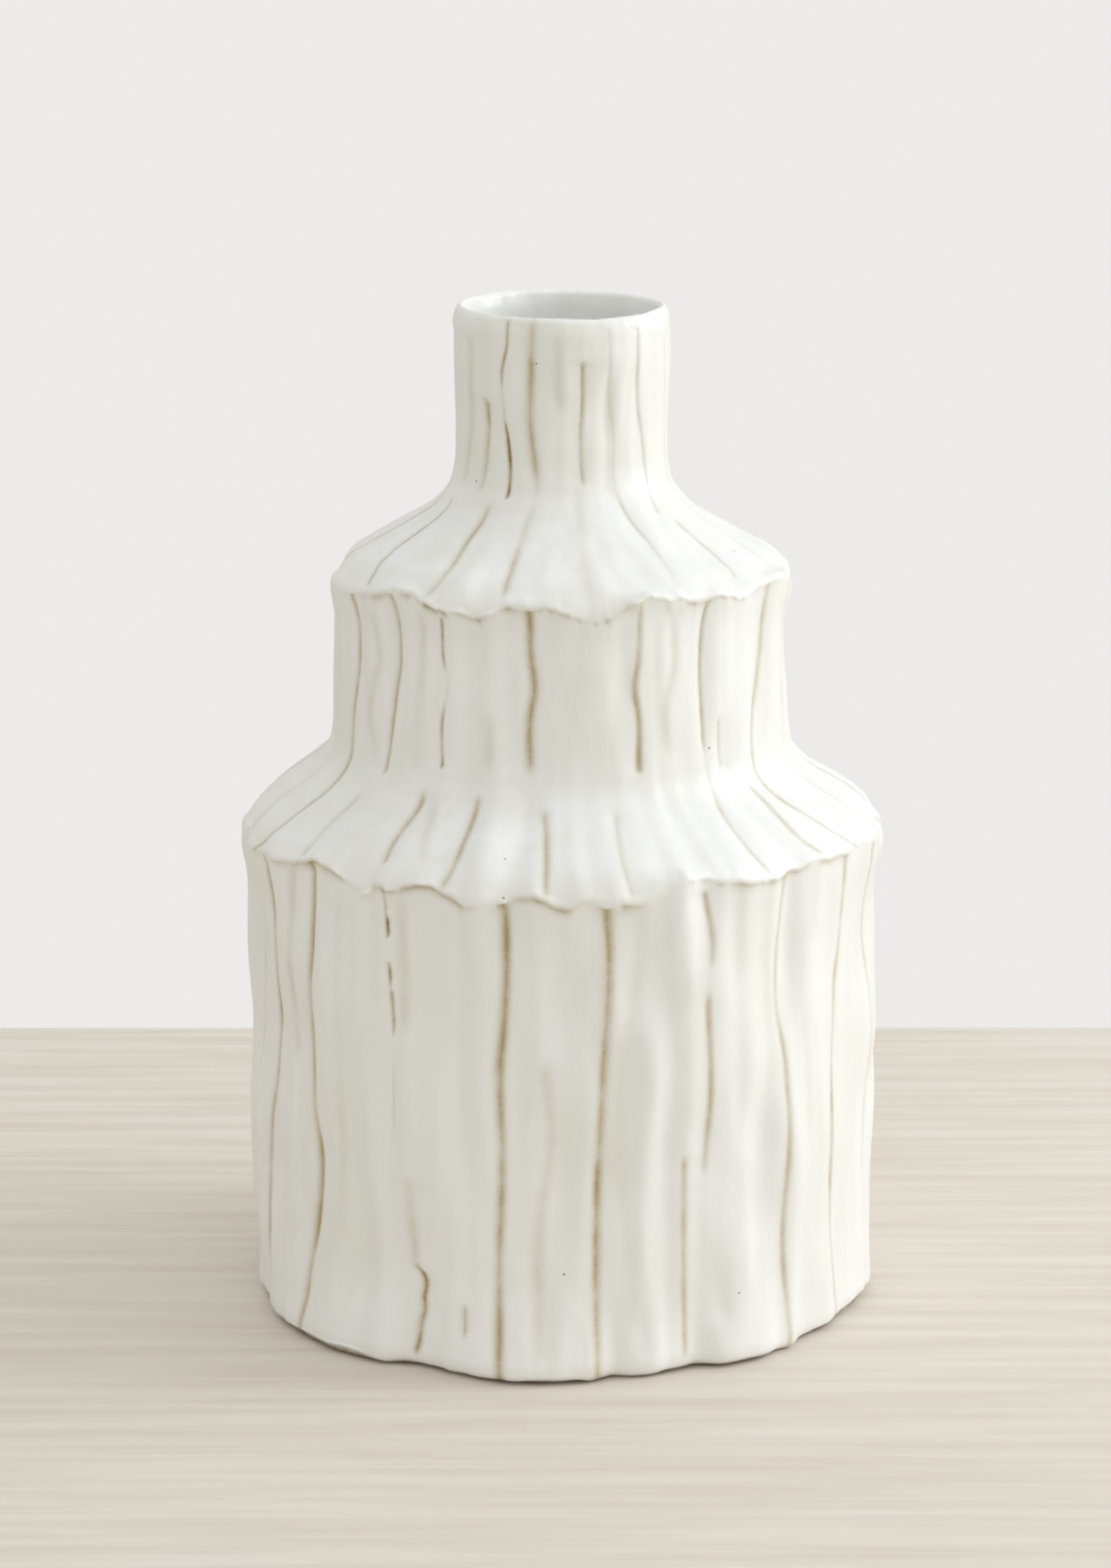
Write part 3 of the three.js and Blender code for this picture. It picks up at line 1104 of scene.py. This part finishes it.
# The dark core colour: iron wash in the seams, and painted shade along the foot's lifted edge.
DARK_WASH_AND_SHADE = tint(142, 117, 76)
PINHOLE = tint(140, 120, 95)
CLAY_LIGHT = tint(222, 209, 188)
CLAY_DARK = tint(188, 168, 142)
TABLE_LIGHT = tint(226, 219, 208)
TABLE_DARK = tint(213, 203, 189)

NOISE_SPAN = (0.3, 0.7)
ALONG_THE_AXIS = (1, 1, 0.1)
ALONG_X = (0.06, 1, 1)
SPECK_CORE = 0.6

# The glaze's texture sizes.
GRAIN_SIZE = 0.6
HOLD_SIZE = 4
CLOUD_SIZE = 26
STREAK_SIZE = 5
SHEEN_SIZE = 9
PEEL_SIZE = 2.2
GRIT_SIZE = 0.5

# How much of the brown is left where the grain, or the glaze's hold on it, is least and most.
PALE_GRAIN = (0.85, 1.0)
PALE_HOLD = (0.65, 1.0)
DARK_GRAIN = (0.5, 1.0)
DARK_HOLD = (0.4, 0.95)
PALE_COVER = 0.92

STREAK_SHARE = 0.6
CLOUD_SHARE = 0.5
GLAZE_ROUGHNESS = (0.3, 0.42)
WASH_ROUGHNESS = 0.3
COAT_WEIGHT = 0.12
COAT_ROUGHNESS = 0.2


def make_glaze():
    """Satin white glaze over pale clay. Iron wash shows brown where the glaze is thin in the seams; the
    dark core colour also paints shade along the foot's lifted edge.
    """
    paint = Paint("satin_white_glaze")
    grain = paint.noise(GRAIN_SIZE, detail=3, roughness=0.6)
    hold = paint.noise(HOLD_SIZE, detail=3)
    pale = paint.math("MULTIPLY", paint.field("wash"), paint.ramp(hold, (0.25, 0.7), PALE_HOLD))
    pale = paint.math("MULTIPLY", pale, paint.ramp(grain, NOISE_SPAN, PALE_GRAIN), clamp=True)
    dark = paint.math("MULTIPLY", paint.field("core"), paint.ramp(grain, NOISE_SPAN, DARK_GRAIN))
    dark = paint.math("MULTIPLY", dark, paint.ramp(hold, (0.3, 0.6), DARK_HOLD), clamp=True)

    clouds = paint.noise(CLOUD_SIZE, detail=3)
    streaks = paint.noise(STREAK_SIZE, detail=3, squash=ALONG_THE_AXIS)
    streaked = paint.math("MULTIPLY", paint.ramp(streaks, (0.35, 0.65)), STREAK_SHARE)
    thin = paint.math("ADD", streaked, paint.ramp(clouds, (0.35, 0.7), (0, CLOUD_SHARE)), clamp=True)

    colour = paint.mix(thin, GLAZE_THICK, GLAZE_THIN)
    colour = paint.mix(paint.math("MULTIPLY", pale, PALE_COVER), colour, WASH_PALE)
    colour = paint.mix(dark, colour, DARK_WASH_AND_SHADE)
    colour = paint.mix(paint.specks(spacing=5, size=0.25, share=0.12), colour, PINHOLE)
    paint.feed(paint.shader.inputs["Base Color"], colour)

    sheen = paint.ramp(paint.noise(SHEEN_SIZE, detail=4), NOISE_SPAN, GLAZE_ROUGHNESS)
    roughness = paint.math("ADD", sheen, paint.math("MULTIPLY", dark, WASH_ROUGHNESS))
    paint.feed(paint.shader.inputs["Roughness"], roughness)
    paint.shader.inputs["Coat Weight"].default_value = COAT_WEIGHT
    paint.shader.inputs["Coat Roughness"].default_value = COAT_ROUGHNESS

    orange_peel = paint.bump(paint.noise(PEEL_SIZE), distance=0.05)
    grit = paint.bump(paint.noise(GRIT_SIZE, detail=3), distance=0.012, normal=orange_peel)
    paint.feed(paint.shader.inputs["Normal"], grit)
    return paint.material


def make_clay():
    """The bare, wiped clay of the foot: buff, dry and gritty."""
    paint = Paint("bare_buff_clay")
    colour = paint.mix(paint.ramp(paint.noise(size=6, detail=5), NOISE_SPAN), CLAY_LIGHT, CLAY_DARK)
    colour = paint.mix(paint.specks(spacing=1.6, size=0.35, share=0.35), colour, PINHOLE)
    paint.feed(paint.shader.inputs["Base Color"], colour)
    roughness = paint.ramp(paint.noise(size=1.5), NOISE_SPAN, (0.75, 0.9))
    paint.feed(paint.shader.inputs["Roughness"], roughness)
    grit = paint.bump(paint.noise(size=0.8, detail=4, roughness=0.7), distance=0.08)
    paint.feed(paint.shader.inputs["Normal"], grit)
    return paint.material


def make_table_paint():
    """Plain pale painted wood, with a faint grain along X."""
    paint = Paint("pale_table")
    grain = paint.noise(size=5, detail=6, roughness=0.6, squash=ALONG_X)
    colour = paint.mix(paint.ramp(grain, (0.3, 0.75)), TABLE_LIGHT, TABLE_DARK)
    paint.feed(paint.shader.inputs["Base Color"], colour)
    paint.shader.inputs["Roughness"].default_value = 0.6
    paint.feed(paint.shader.inputs["Normal"], paint.bump(grain, distance=0.1))
    return paint.material


# ---- the vase

def build_vase():
    """All six pieces, cut from the three sheets."""
    drum = draw_sheet(
        DRUM_OUTLINE,
        DRUM_SEAMS + back_seams(seed=21, count=14, low=-5, high=90),
        creases=[LOWER_LIP_CREASE],
        rising=[LOWER_LIP_WAVE],
        swelling=[FOOT_WAVE],
    )
    middle = draw_sheet(
        MIDDLE_OUTLINE,
        MIDDLE_SEAMS + back_seams(seed=22, count=13, low=84, high=132),
        creases=[LOWER_LIP_CREASE, UPPER_LIP_CREASE],
        rising=[LOWER_LIP_WAVE, UPPER_LIP_WAVE],
        swelling=[],
    )
    top = draw_sheet(
        TOP_OUTLINE,
        TOP_SEAMS + back_seams(seed=23, count=10, low=131, high=174),
        creases=[UPPER_LIP_CREASE],
        rising=[UPPER_LIP_WAVE, RIM_WAVE],
        swelling=[],
    )
    base_joint = row_at(drum, BASE_TOP)
    lower_joint = row_at(middle, LOWER_ROOT)
    upper_joint = row_at(top, UPPER_ROOT)
    drum_end = len(drum.height) - 1
    middle_end = len(middle.height) - 1
    top_end = len(top.height) - 1

    glaze = make_glaze()
    add_base(drum, base_joint, glaze, make_clay())
    for node, sheet, first, last, inside in (
        ("lower_wall", drum, base_joint, drum_end, LOWER_WALL_INSIDE),
        ("lower_shoulder", middle, 0, lower_joint, LOWER_SHOULDER_INSIDE),
        ("middle_wall", middle, lower_joint, middle_end, MIDDLE_WALL_INSIDE),
        ("upper_shoulder", top, 0, upper_joint, UPPER_SHOULDER_INSIDE),
        ("neck", top, upper_joint, top_end, []),
    ):
        add_ring(node, sheet, first, last, inside, glaze)


# ---- the stage

TABLE_WIDTH = 3000
TABLE_DEPTH = 338
TABLE_THICKNESS = 30
TABLE_ROUNDING = 2


def add_table():
    """A slab whose top is at the foot of the vase. Its far edge is the line behind the vase."""
    corners = [
        (x * TABLE_WIDTH / 2, y * TABLE_DEPTH / 2, z)
        for z in (-TABLE_THICKNESS, 0)
        for x, y in ((-1, -1), (1, -1), (1, 1), (-1, 1))
    ]
    faces = [(3, 2, 1, 0), (4, 5, 6, 7), (0, 1, 5, 4), (1, 2, 6, 5), (2, 3, 7, 6), (3, 0, 4, 7)]
    mesh = bpy.data.meshes.new("table")
    mesh.from_pydata(np.array(corners) * MM, [], faces)
    mesh.materials.append(make_table_paint())
    table = add_object("table", mesh)
    rounding = table.modifiers.new("rounding", "BEVEL")
    rounding.width = TABLE_ROUNDING * MM
    rounding.segments = 3


WINDOW_AWAY = 1200
WINDOW_AZIMUTH = 94
WINDOW_ELEVATION = 24
WINDOW_SIZE = 600
WINDOW_POWER = 6.4
WINDOW_COLOUR = (0.88, 0.94, 1.0)


def add_window():
    """A soft light on the right, a little behind the vase, which faces the vase's middle."""
    azimuth, elevation = np.radians((WINDOW_AZIMUTH, WINDOW_ELEVATION))
    level = np.cos(elevation)
    away = Vector((np.sin(azimuth) * level, -np.cos(azimuth) * level, np.sin(elevation)))
    light = bpy.data.lights.new("window", "AREA")
    light.shape = "RECTANGLE"
    light.size = WINDOW_SIZE * MM
    light.size_y = WINDOW_SIZE * MM
    light.energy = WINDOW_POWER
    light.color = WINDOW_COLOUR
    lamp = add_object("window", light)
    lamp.location = (Vector((0, 0, RIM / 2)) + away * WINDOW_AWAY) * MM
    lamp.rotation_euler = away.to_track_quat("Z", "Y").to_euler()


ROOM_LEVEL = 0.71
ROOM_SLOPE = (0.12, -0.03, 0.22)
ROOM_WARM = tint(255, 252, 238)
ROOM_COOL = tint(253, 254, 255)
ROOM_COOL_HEIGHT = 0.7
WALL_BEHIND = tint(236, 235, 233)


def room_strength(nodes, links, direction):
    """The light from a direction, which grows along the room's slope."""
    slope = nodes.new("ShaderNodeVectorMath")
    slope.operation = "DOT_PRODUCT"
    slope.inputs[1].default_value = ROOM_SLOPE
    links.new(direction, slope.inputs[0])
    level = nodes.new("ShaderNodeMath")
    level.operation = "ADD"
    level.inputs[1].default_value = ROOM_LEVEL
    links.new(slope.outputs["Value"], level.inputs[0])
    return level.outputs["Value"]


def room_colour(nodes, links, direction):
    """The colour of that light: warm up to the level of the vase, and cooler above it."""
    tilt = nodes.new("ShaderNodeSeparateXYZ")
    links.new(direction, tilt.inputs[0])
    height = nodes.new("ShaderNodeMapRange")
    height.inputs["From Max"].default_value = ROOM_COOL_HEIGHT
    links.new(tilt.outputs["Z"], height.inputs["Value"])
    warmth = nodes.new("ShaderNodeMixRGB")
    warmth.inputs["Color1"].default_value = ROOM_WARM
    warmth.inputs["Color2"].default_value = ROOM_COOL
    links.new(height.outputs["Result"], warmth.inputs["Fac"])
    return warmth.outputs["Color"]


def add_room():
    """A pale room, brighter above and on the right. The wall that is seen is even and pale."""
    world = bpy.data.worlds.new("room")
    world.use_nodes = True
    bpy.context.scene.world = world
    nodes = world.node_tree.nodes
    links = world.node_tree.links
    direction = nodes.new("ShaderNodeTexCoord").outputs["Generated"]

    room = nodes["Background"]
    links.new(room_strength(nodes, links, direction), room.inputs["Strength"])
    links.new(room_colour(nodes, links, direction), room.inputs["Color"])
    wall = nodes.new("ShaderNodeBackground")
    wall.inputs["Color"].default_value = WALL_BEHIND
    seen = nodes.new("ShaderNodeLightPath").outputs["Is Camera Ray"]
    pick = nodes.new("ShaderNodeMixShader")
    for socket, output in zip(pick.inputs, (seen, room.outputs[0], wall.outputs[0])):
        links.new(output, socket)
    links.new(pick.outputs[0], nodes["World Output"].inputs["Surface"])


CAMERA_PLACE = Vector((-1.1, -772.6, 262.9))
CAMERA_DIP = 12.47
CAMERA_LENS = 101.4
CAMERA_SENSOR = 36.0


def add_camera():
    """The camera, in front of the vase, a little above it, and looking slightly down."""
    data = bpy.data.cameras.new("camera")
    data.lens = CAMERA_LENS
    data.sensor_width = CAMERA_SENSOR
    camera = add_object("camera", data)
    camera.location = CAMERA_PLACE * MM
    camera.rotation_euler = (np.radians(90 - CAMERA_DIP), 0, 0)
    bpy.context.scene.camera = camera


build_vase()
add_table()
add_window()
add_room()
add_camera()
bpy.context.scene.view_settings.view_transform = "Standard"
